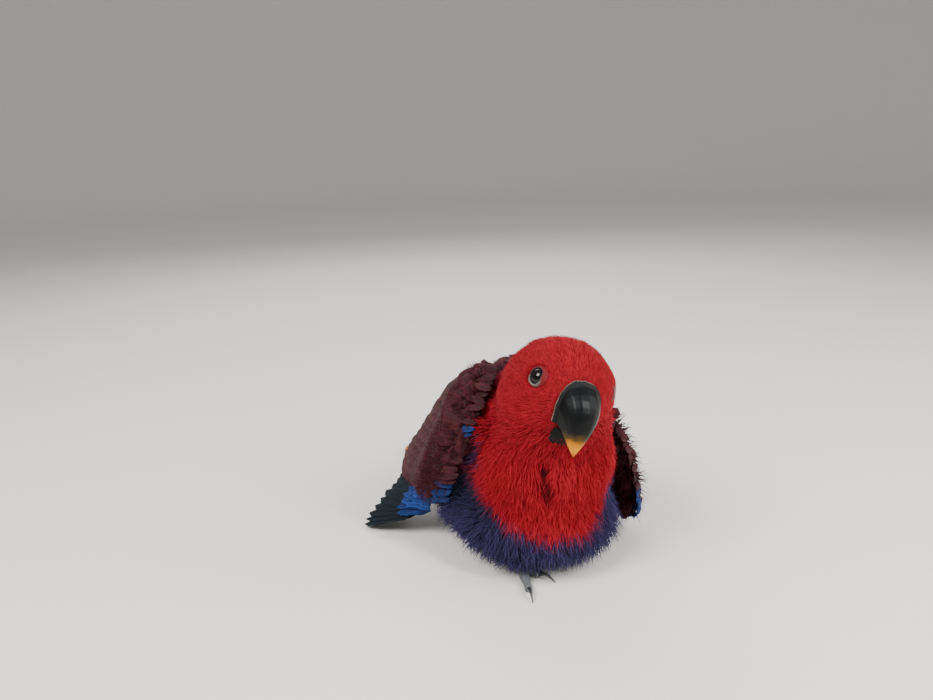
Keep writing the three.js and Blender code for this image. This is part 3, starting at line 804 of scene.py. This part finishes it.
def vanes(name, line, side, out, half, length, colours, bake_at, slant=0.12, camber=0.05, ragged=0.1):
    """A mesh of feathers from arrays: line, side and out are feathers by stations by xyz."""
    count, stations = line.shape[:2]
    reach = half[:, :, None] * COLUMNS[None, None]
    reach = reach * (1 + rng.normal(0, ragged, reach.shape) * np.abs(COLUMNS))
    height = slant * reach - camber * np.abs(reach) ** 1.5 / np.maximum(half.max(1), 1)[:, None, None] ** 0.5
    middle = line[:, :, None] + side[:, :, None] * reach[..., None] + out[:, :, None] * height[..., None]
    thick = np.interp(np.abs(COLUMNS), (0, 0.2, 0.3, 1), (0.3, 0.2, 0.1, 0.04))
    thick = thick[None, None] * np.linspace(1.6, 0.6, stations)[None, :, None]
    top = middle + out[:, :, None] * thick[..., None]
    base = middle - out[:, :, None] * thick[..., None]
    columns = len(COLUMNS)
    body = np.stack((top, base), 1).reshape(count, -1, 3)
    layer = stations * columns
    faces = []

    def quad(a, b, c, d):
        faces.extend(((a, b, c), (a, c, d)))

    for s in range(stations - 1):
        for c in range(columns - 1):
            a = s * columns + c
            quad(a, a + 1, a + columns + 1, a + columns)
            a += layer
            quad(a, a + columns, a + columns + 1, a + 1)
        first, last = s * columns, s * columns + columns - 1
        quad(first, first + columns, first + columns + layer, first + layer)
        quad(last, last + layer, last + columns + layer, last + columns)
    for c in range(columns - 1):
        quad(c, c + layer, c + 1 + layer, c + 1)
        a = (stations - 1) * columns + c
        quad(a, a + 1, a + 1 + layer, a + layer)
    triangles = (np.array(faces)[None] + (np.arange(count) * 2 * layer)[:, None, None]).reshape(-1, 3)
    handed = np.sum(np.cross(side[:, 0], line[:, 1] - line[:, 0]) * out[:, 0], axis=1) < 0
    flip = np.repeat(handed, len(faces))
    triangles[flip] = triangles[flip][:, ::-1]
    share = np.linspace(0, 1, stations)
    run = np.broadcast_to((length[:, None] * share)[:, :, None], reach.shape)
    vane = np.stack((reach, run), -1) * MM
    vane = np.stack((vane, vane), 1).reshape(-1, 2)
    local = np.stack(np.broadcast_arrays((COLUMNS / 2)[None], (share - 0.5)[:, None]), -1).reshape(-1, 2)
    local = np.concatenate((local, local))
    bake = bake_at[:, None] + local[None] * PATCH
    painted = colours(line, reach, share)
    painted = np.stack((painted, painted), 1).reshape(-1, 4)
    made = joined_mesh(name, body.reshape(-1, 3), triangles, painted, bake.reshape(-1, 2), vane)
    return made


def bake_places(at):
    """The bake map's place of each root: that of the skin nearest to it."""
    found = []
    for p in at:
        hit = skin_tree.find_nearest(Vector(p))
        corner = points[corners[hit[2]]]
        share = 1 / np.maximum(np.linalg.norm(corner - np.array(hit[0]), axis=1), 1e-3)
        found.append((corner_uv[hit[2]] * (share / share.sum())[:, None]).sum(0))
    return np.array(found)


def web_colours(dark, bright, tip=None, tone_spread=0.1):
    """Colours for a tier: dark along the shaft and root, brighter on the webs, with a tip's own."""

    def colours(line, reach, share):
        count = len(line)
        across = np.abs(COLUMNS)[None, None]
        mix = np.clip(0.35 + 0.65 * across, 0, 1) * np.linspace(0.55, 1, len(share))[None, :, None]
        a, b = np.array(linear(dark)), np.array(linear(bright))
        made = a + (b - a) * np.broadcast_to(mix, (count, len(share), len(COLUMNS)))[..., None]
        if tip is not None:
            ends = smoothstep(0.74, 0.95, share)[None, :, None, None]
            made = made + (np.array(linear(tip)) - made) * ends
        made = made * rng.uniform(1 - tone_spread, 1 + tone_spread, count)[:, None, None, None]
        made[..., 3] = 1
        return made

    return colours


# Back
# Rounded contour feathers that lap like shingles over mantle, back and rump, ruffled on the
# shoulders, over a soft maroon underlay.

BACK_FEATHERS = 900
EDGE_FEATHERS = 700
BACK_DARK = "#200b10"
BACK_BRIGHT = "#47161d"
BACK_STATIONS = 6


def back_share(p, w):
    upper = smoothstep(48, 60, p[:, 2] + 0.42 * (p[:, 1] - 30))
    return smoothstep(2, -4, bib_height(p)) * upper * (p[:, 1] > 6)


def contour_feathers(name, at, out, uv, length, half_width, lift):
    """Maroon feathers laid on the skin along the lie of the coat."""
    count = len(at)
    lie = lie_of_coat(at, out)
    side = np.cross(out, lie)
    turn = rng.normal(0, 0.14, count)
    lie = unit(lie * np.cos(turn)[:, None] + side * np.sin(turn)[:, None])
    side = np.cross(out, lie)
    share = np.linspace(0, 1, BACK_STATIONS)
    tilt = np.radians(lift * rng.uniform(0.5, 1.5, count))
    run = (length * np.cos(tilt))[:, None] * share[None]
    rise = (length * np.sin(tilt))[:, None] * (share - 0.45 * share**2)
    line = at[:, None] + lie[:, None] * run[..., None] + out[:, None] * rise[..., None]
    line = line + out[:, None] * 0.6
    half = half_width[:, None] * vane_outline(share)[None]
    repeat = np.ones((1, BACK_STATIONS, 1))
    side = side[:, None] * repeat
    out = out[:, None] * repeat
    vanes(name, line, side, out, half, length, web_colours(BACK_DARK, BACK_BRIGHT), uv)


at, out, uv, _ = scatter(BACK_FEATHERS, back_share)
length = rng.uniform(12, 17, len(at))
ruffled = 14 + 30 * smoothstep(68, 86, at[:, 2])
contour_feathers("back_feathers", at, out, uv, length, length * 0.27, ruffled)
at, out, uv, _ = scatter(EDGE_FEATHERS, lambda p, w: w > 0.5)
length = rng.uniform(7, 10, len(at))
ruffled = 16 + 38 * smoothstep(58, 80, at[:, 2])
contour_feathers("shoulder_feathers", at, out, uv, length, length * 0.3, ruffled)


# Wings
# Tiers from the fore edge back: small coverts in nine rows over the cushion, greater coverts, then
# secondaries. On the hand are primaries, their blue coverts and short stiff feathers at the wrist.


BEHIND_CUSHION = 2.2


def cushion_top(back, down):
    """Height of the cushion's outer face over the sheet."""
    fade = cushion_fade(min(max((down - CUSHION_FROM) / CUSHION_SPAN, 0), 1))
    along = (back - CUSHION_BACK) / (CUSHION_HALF * fade)
    if abs(along) >= 1:
        return BEHIND_CUSHION if along > 0 else CUSHION_LIFT
    lean = CUSHION_LEAN * (back - CUSHION_BACK)
    return CUSHION_LIFT + CUSHION_RISE * fade * math.sqrt(1 - along**2) - lean


def wing_tier(name, wing, places, colours, stations=11, tip=0.72, slant=0.14):
    """A tier of wing feathers. Each place gives down, back, length, width, the rise over the sheet at
    root and tip, and how far the tip swings down the wing, as a share of the length."""
    count = len(places)
    line, side, out = np.zeros((3, count, stations, 3))
    half = np.zeros((count, stations))
    length = np.array([p[2] for p in places], float)
    share = np.linspace(0, 1, stations)
    for i, (down, back, long, width, root_rise, tip_rise, swing) in enumerate(places):
        for k, s in enumerate(share):
            reach = back + long * s
            _, _, _, _, wide = wing_frame(wing, reach, down)
            shifted = down + swing * long * s / wide
            point, _, across, normal, _ = wing_frame(wing, reach, shifted)
            rise = root_rise + (tip_rise - root_rise) * s
            line[i, k] = point + normal * rise
            side[i, k] = across
            out[i, k] = normal
        half[i] = width / 2 * vane_outline(share, tip=tip)
    bake = bake_places(line[:, 1])
    return vanes(name, line, side, out, half, length, colours, bake, slant=slant)


def spread(a, b, count, i):
    """The value of feather i of a row that runs evenly from a to b."""
    return a + (b - a) * i / (count - 1)


def jitter(value, share=0.05):
    """The value, off by up to a share of itself at random."""
    return value * (1 + rng.uniform(-share, share))


DARK_MAROON = "#1b0b0e"
WING_MAROON = "#48191f"
DEEP_BLUE = "#0f1a3c"
BRIGHT_BLUE = "#183470"
COVERT_ROWS = 9
for name, wing in WINGS.items():
    secondaries = [
        (spread(0.02, 0.92, 11, i), 15, jitter(spread(73, 64, 11, i)), jitter(15), 1.0, 1.2, 0)
        for i in range(11)
    ]
    wing_tier(
        f"secondaries_{name}", wing, secondaries,
        web_colours(DARK_MAROON, WING_MAROON, tone_spread=0.15),
    )
    greater = [
        (spread(-0.02, 0.93, 15, i), 15, jitter(spread(36, 30, 15, i)), jitter(12), 4.6, 2.6, 0)
        for i in range(15)
    ]
    wing_tier(
        f"greater_coverts_{name}", wing, greater,
        web_colours(DARK_MAROON, WING_MAROON, tone_spread=0.15),
    )
    maroon, blue = [], []
    for row in range(COVERT_ROWS):
        back = 13 - row * 2.6
        count = 24 + row
        for i in range(count):
            down = spread(-0.06, 0.97, count, i) + (0.5 * (row % 2)) / count + rng.normal(0, 0.01)
            down = min(down, 0.985)
            fore = back + rng.normal(0, 1.0)
            rise = cushion_top(fore, down) + 0.3
            far = cushion_top(fore + 12, down) + 1.4 + abs(rng.normal(0, 0.9))
            long = jitter(15 - row * 0.8, 0.2)
            width = jitter(6.6 - row * 0.35, 0.15)
            near_wrist = down > 0.96 - 0.02 * row and row > 2
            patch = name == "right" and row >= 2 and abs(down - 0.37) < 0.045
            chosen = blue if near_wrist or patch else maroon
            chosen.append((down, fore, long, width, rise, far, rng.normal(0, 0.2)))
    wing_tier(
        f"coverts_{name}", wing, maroon,
        web_colours(DARK_MAROON, WING_MAROON, tone_spread=0.25), 8, 0.5,
    )
    wing_tier(
        f"blue_coverts_{name}", wing, blue,
        web_colours(DEEP_BLUE, BRIGHT_BLUE, tone_spread=0.3), 8, 0.5,
    )
    primaries = [
        (
            spread(1.03, 2, 10, i), spread(8, 3, 10, i), jitter(spread(58, 38, 10, i), 0.03),
            spread(12.5, 8, 10, i), -1, -0.5, 0,
        )
        for i in range(10)
    ]
    wing_tier(
        f"primaries_feathers_{name}", wing, primaries,
        web_colours("#07090c", "#0b1820", tone_spread=0.15), tip=0.6,
    )
    hand = [
        (
            spread(0.97, 1.97, 15, i), spread(3, 0, 15, i), jitter(spread(33, 19, 15, i), 0.15),
            spread(6.5, 5, 15, i), 3.0 + rng.normal(0, 0.5), 1.8 + rng.normal(0, 0.6), rng.normal(0, 0.08),
        )
        for i in range(15)
    ]
    wing_tier(
        f"primary_coverts_{name}", wing, hand,
        web_colours(DEEP_BLUE, BRIGHT_BLUE, tone_spread=0.3), tip=0.5,
    )
    alula = [
        (
            spread(0.98, 1.7, 9, i), -1, jitter(spread(24, 14, 9, i), 0.15), 4.5, 5.0, 4.0,
            rng.normal(0.12, 0.12),
        )
        for i in range(9)
    ]
    piece = wing_tier(
        f"alula_{name}", wing, alula,
        web_colours(DEEP_BLUE, "#1f4288", tone_spread=0.35), tip=0.4,
    )
    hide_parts(f"wing_{name}", f"primaries_{name}")


# Tail
# Twelve feathers in a shallow roof, the middle pair on top, maroon with an orange-yellow end,
# under three tiers of maroon coverts.

TAIL_AT = Vector((0, 78, 36))
TAIL_LENGTH = 92
TAIL_SLOPE = 0.3
TAIL_FAN = math.radians(13)
TAIL_ARCH = 5.0
TAIL_ROOT_HALF = 9
RECTRICES = 12


def tail_point(along, across, rise):
    """A point of the tail's fan and the direction of its feathers there, across from -1 to 1."""
    turn = TAIL_FAN * across
    run = Vector((math.sin(turn), math.cos(turn), -TAIL_SLOPE)).normalized()
    point = TAIL_AT + run * along
    point.x += across * TAIL_ROOT_HALF
    point.z += rise - TAIL_ARCH * across * across
    return point, run


def tail_tier(name, places, colours, stations=11):
    """A tier of tail feathers. Each place gives across, back, length, width, rise at root and tip."""
    count = len(places)
    line, side, out = np.zeros((3, count, stations, 3))
    half = np.zeros((count, stations))
    share = np.linspace(0, 1, stations)
    for i, (across, back, long, width, root_rise, tip_rise) in enumerate(places):
        for k, s in enumerate(share):
            point, run = tail_point(back + long * s, across, root_rise + (tip_rise - root_rise) * s)
            flat = Vector((math.cos(TAIL_FAN * across), -math.sin(TAIL_FAN * across), 0))
            flat = (flat + Vector((0, 0, -0.2 * across))).normalized()
            line[i, k] = point
            side[i, k] = flat
            out[i, k] = flat.cross(run).normalized()
        half[i] = width / 2 * vane_outline(share, tip=0.85)
    length = np.array([p[2] for p in places], float)
    bake = bake_places(line[:, 1])
    return vanes(name, line, side, out, half, length, colours, bake, slant=0.02)


rectrices = []
for i in range(RECTRICES):
    across = ((i + 0.5) / RECTRICES) * 2 - 1
    rise = -2.6 * abs(across)
    rectrices.append((across, 2, TAIL_LENGTH + 5 - 6 * across**2, 15, rise, rise))
tail = tail_tier("tail_feathers", rectrices, web_colours("#3a0f14", "#7c1f22", tip="#b8722c"))
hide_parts("tail")
TAIL_COVERTS = ((9, -6, 42, 3.0), (9, -14, 34, 5.5), (8, -20, 28, 7.5))
for tier, (count, back, long, rise) in enumerate(TAIL_COVERTS):
    coverts = []
    for i in range(count):
        across = ((i + 0.5) / count) * 2 - 1
        root_rise = rise - 3 * abs(across)
        tip_rise = rise - 2.4 - 2 * abs(across)
        coverts.append((0.95 * across, back, jitter(long), 13, root_rise, tip_rise))
    tail_tier(f"tail_coverts_{tier + 1}", coverts, web_colours("#3a1018", "#6e2230"), 8)


# Eyes and lids
# A dark glossy ball with a faint brown iris, in a ring of bare skin. The ring is thickest and palest
# below, and goes down from the eye to the skin of the head in the dark red of the plumage.


def to_metres(frame_mm):
    """A frame in the bird's own millimetres as one in the scene's metres."""
    return Matrix.Translation(MIDDLE) @ Matrix.Scale(MM, 4) @ frame_mm


def eye_material(side):
    """A living eye: a very dark brown iris round a black pupil, glossy as if wet."""
    material, tree, shader = new_material("wet_eye", "#0b0908", 0.06, Specular_IOR_Level=0.3)
    where = add_node(tree, "ShaderNodeTexCoord")
    pole = to_metres(eye_frame(side)) @ Vector((0, -EYE_RADIUS, 0))
    off = add_node(tree, "ShaderNodeVectorMath", {"operation": "DISTANCE"})
    tree.links.new(where.outputs["Object"], off.inputs[0])
    off.inputs[1].default_value = pole
    from_pole = add_node(tree, "ShaderNodeMapRange", {}, Value=off.outputs["Value"])
    from_pole.inputs["From Max"].default_value = EYE_RADIUS * MM
    ramp = add_node(tree, "ShaderNodeValToRGB", {}, Fac=from_pole.outputs["Result"])
    ramp.color_ramp.elements[0].position = 0.36
    ramp.color_ramp.elements[0].color = linear("#060606")
    ramp.color_ramp.elements[1].position = 0.42
    ramp.color_ramp.elements[1].color = linear("#0d0906")
    iris_end = ramp.color_ramp.elements.new(0.72)
    iris_end.color = linear("#060505")
    tree.links.new(ramp.outputs["Color"], shader.inputs["Base Color"])
    return material


LID_OPENING = (3.9, 2.9)
LID_REACH = 5.8
LID_BACK = 2.5
LID_SUNK = 0.5
LID_STEPS = 14
LID_AROUND = 72
LID_UPPER = "#2a2120"
LID_LOWER = "#6b645f"
LID_RED = "#671119"


def painted_material(name, colour, roughness):
    """A material of bare skin that shows the colour stored at each vertex."""
    made = new_material(name, colour, roughness, Specular_IOR_Level=0.2)
    stored = add_node(made[1], "ShaderNodeVertexColor", {"layer_name": "plume"})
    made[1].links.new(stored.outputs["Color"], made[2].inputs["Base Color"])
    return made


def add_scales(tree, shader, scale, strength, deep):
    """Small rounded scales as a bump on the shader."""
    where = add_node(tree, "ShaderNodeTexCoord")
    cells = add_node(tree, "ShaderNodeTexVoronoi", {}, Vector=where.outputs["Object"], Scale=scale)
    height = cells.outputs["Distance"]
    bump = add_node(tree, "ShaderNodeBump", {}, Strength=strength, Distance=deep, Height=height)
    tree.links.new(bump.outputs["Normal"], shader.inputs["Normal"])


lid_material, lid_tree, lid_shader = painted_material("bare_grey_skin", "#3a3634", 0.75)
add_scales(lid_tree, lid_shader, 1500.0, 0.4, 0.0002)


RAY_START = 20


def face_height(frame_mm, across, up):
    """How far the head's skin stands out at a place beside an eye, along the eye's own look."""
    look = (frame_mm.to_3x3() @ Vector((0, -1, 0))).normalized()
    start = frame_mm @ Vector((across, 0, up)) + look * RAY_START
    hit = skin_tree.ray_cast(start, -look)
    return RAY_START - hit[3]


for name, side in EYES.items():
    shape = bmesh.new()
    bmesh.ops.create_uvsphere(shape, u_segments=48, v_segments=32, radius=EYE_RADIUS)
    bmesh.ops.transform(shape, matrix=to_metres(eye_frame(side)), verts=shape.verts)
    ball = make_object(f"eyeball_{name}", shape)
    ball.data.materials.append(eye_material(side))
    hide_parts(f"eye_{name}")
    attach(ball, "root")

    own = eye_frame(side)
    shape = bmesh.new()
    rings, tones = [], []
    for k in range(LID_AROUND):
        around = 2 * math.pi * k / LID_AROUND
        below = max(-math.sin(around), 0)
        opening = LID_OPENING[1] + (LID_OPENING[0] - LID_OPENING[1]) * abs(math.sin(around)) ** 1.5
        rim = (LID_REACH * math.cos(around), LID_REACH * math.sin(around))
        outer = face_height(own, *rim) - LID_SUNK
        inner = math.sqrt((EYE_RADIUS + 0.15) ** 2 - opening**2)
        ring = []
        for step in range(LID_STEPS + 1):
            share = step / LID_STEPS
            reach = opening + (LID_REACH - opening) * share
            crease = 0.1 * math.sin(19 * share) * math.sin(5 * around)
            height = inner + (outer - inner) * share**1.3 + crease
            height += (0.45 + 0.5 * below) * math.sin(math.pi * min(share / (0.4 + 0.25 * below), 1))
            ring.append(shape.verts.new((reach * math.cos(around), -height, reach * math.sin(around))))
            tones.append((below, smoothstep(0.1 + 0.35 * below, 0.3 + 0.45 * below, share)))
        back = shape.verts.new((rim[0], LID_BACK, rim[1]))
        well = shape.verts.new((opening * math.cos(around), LID_BACK - inner, opening * math.sin(around)))
        ring += [back, well]
        tones += [(below, 1.0), (below, 0.0)]
        rings.append([shape.edges.new(pair) for pair in zip(ring, ring[1:] + ring[:1])])
    for a, b in zip(rings, rings[1:] + rings[:1]):
        bmesh.ops.bridge_loops(shape, edges=a + b)
    bmesh.ops.recalc_face_normals(shape, faces=shape.faces)
    bmesh.ops.transform(shape, matrix=to_metres(own), verts=shape.verts)
    lid = make_object(f"lid_{name}", shape)
    below, outer = np.array(tones).T
    grey = mixed(np.array(linear(LID_UPPER)), np.array(linear(LID_LOWER)), below)
    paint(lid.data, mixed(grey, np.array(linear(LID_RED)), outer))
    lid.data.materials.append(lid_material)
    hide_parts(f"eyelid_{name}")
    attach(lid, "root")


# Bill and cere
# Black polished horn that turns yellow towards the tip, behind a thin pale cere with a nostril
# each side. They are the solids' own forms with their facets smoothed away.


def smooth_copy(node, name, voxel, smooth, material, grow=0.0):
    """A CAD node's own form with its facets smoothed away, voxel and grow in millimetres."""
    made = fuse(make_object(name, copy_of(node, grow * MM)), voxel * MM, smooth)
    made.data.materials.append(material)
    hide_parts(node)
    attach(made, "root")
    return made


BILL_TIP = Vector((0, -36, -21.5))
TIP_SPAN = 20 * MM
TIP_WANDER = 3.5 * MM
horn_material, horn_tree, horn_shader = new_material("bill_horn", "#0c0d0e", 0.36, Specular_IOR_Level=0.12)
horn_where = add_node(horn_tree, "ShaderNodeTexCoord")
from_tip = add_node(horn_tree, "ShaderNodeVectorMath", {"operation": "DISTANCE"})
horn_tree.links.new(horn_where.outputs["Object"], from_tip.inputs[0])
from_tip.inputs[1].default_value = to_metres(HEAD_FRAME) @ BILL_TIP
streaks = add_node(
    horn_tree, "ShaderNodeTexNoise", {}, Vector=horn_where.outputs["Object"], Scale=260.0, Detail=4.0
)
wander = add_node(
    horn_tree, "ShaderNodeMath", {"operation": "MULTIPLY_ADD"},
    i0=streaks.outputs["Fac"], i1=TIP_WANDER, i2=from_tip.outputs["Value"],
)
tip_share = add_node(horn_tree, "ShaderNodeMapRange", {}, Value=wander.outputs[0])
tip_share.inputs["From Max"].default_value = TIP_SPAN
tip_ramp = add_node(horn_tree, "ShaderNodeValToRGB", {}, Fac=tip_share.outputs["Result"])
tip_ramp.color_ramp.elements[0].position = 0.12
tip_ramp.color_ramp.elements[0].color = linear("#b0521c")
tip_ramp.color_ramp.elements[1].position = 0.26
tip_ramp.color_ramp.elements[1].color = linear("#cc8400")
for where_at, tone in ((0.44, "#b87200"), (0.58, "#4c3610"), (0.74, "#0c0d0e")):
    stop = tip_ramp.color_ramp.elements.new(where_at)
    stop.color = linear(tone)
horn_tree.links.new(tip_ramp.outputs["Color"], horn_shader.inputs["Base Color"])
lower_horn = new_material("lower_bill_horn", "#08090a", 0.5, Specular_IOR_Level=0.12)[0]
CERE_PALE = "#8f8375"
CERE_DARK = "#141414"
cere_material = painted_material("pale_cere", CERE_PALE, 0.7)[0]

smooth_copy("bill_upper", "upper_mandible", 0.35, 14, horn_material)
smooth_copy("bill_lower", "lower_mandible", 0.35, 8, lower_horn)
cere = smooth_copy("cere", "cere_rim", 0.28, 4, cere_material, 0.1)
head_tree = tree_of("head")
cere_points, _ = coordinates(cere.data)
over = np.array([head_tree.find_nearest(Vector(p))[3] for p in cere_points])
pale, dark = (np.array(linear(c)) for c in (CERE_PALE, CERE_DARK))
paint(cere.data, mixed(pale, dark, smoothstep(0.55, 0.85, over)))


# Feet
# Grey scaly skin over each foot, with dark curved claws, from the solids' own forms. The shanks are
# the solids themselves in the same skin.

foot_material, foot_tree, foot_shader = new_material("scaly_foot_skin", "#5a5c5e", 0.6)
add_scales(foot_tree, foot_shader, 900.0, 0.8, 0.0004)
claw_material = new_material("claw_horn", "#2c2c2f", 0.35)[0]
for name in EYES:
    smooth_copy(f"foot_{name}", f"foot_skin_{name}", 0.4, 6, foot_material)
    nodes[f"leg_{name}"].data.materials.clear()
    nodes[f"leg_{name}"].data.materials.append(foot_material)
    for i in range(1, 5):
        smooth_copy(f"claw_{name}_{i}", f"claw_horn_{name}_{i}", 0.25, 3, claw_material)
